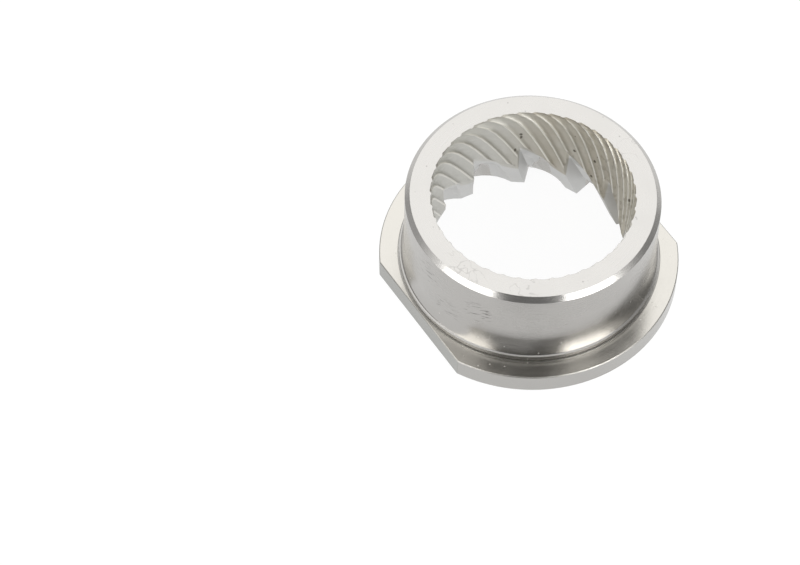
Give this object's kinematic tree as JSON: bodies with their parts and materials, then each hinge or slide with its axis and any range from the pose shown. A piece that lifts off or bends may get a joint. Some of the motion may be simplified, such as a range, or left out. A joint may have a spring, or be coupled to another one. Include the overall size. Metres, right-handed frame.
{
  "type": "coffee grinder ring burr",
  "caption": "Flanged steel ring burr of a conical coffee grinder, with fine helical teeth in its bore, hooked crushing teeth at the feed end and flats on the flange.",
  "frame": {"origin": "centre of the ring on the flange's under face, which it stands on", "axes": "+Z along the ring's axis from the flange to the fine end; +X square to one flat of the flange"},
  "size_m": [0.0494, 0.056, 0.0234],
  "materials": {
    "steel": "satin"
  },
  "bodies": {
    "root": {"ring_burr": "steel"}
  },
  "joints": []
}
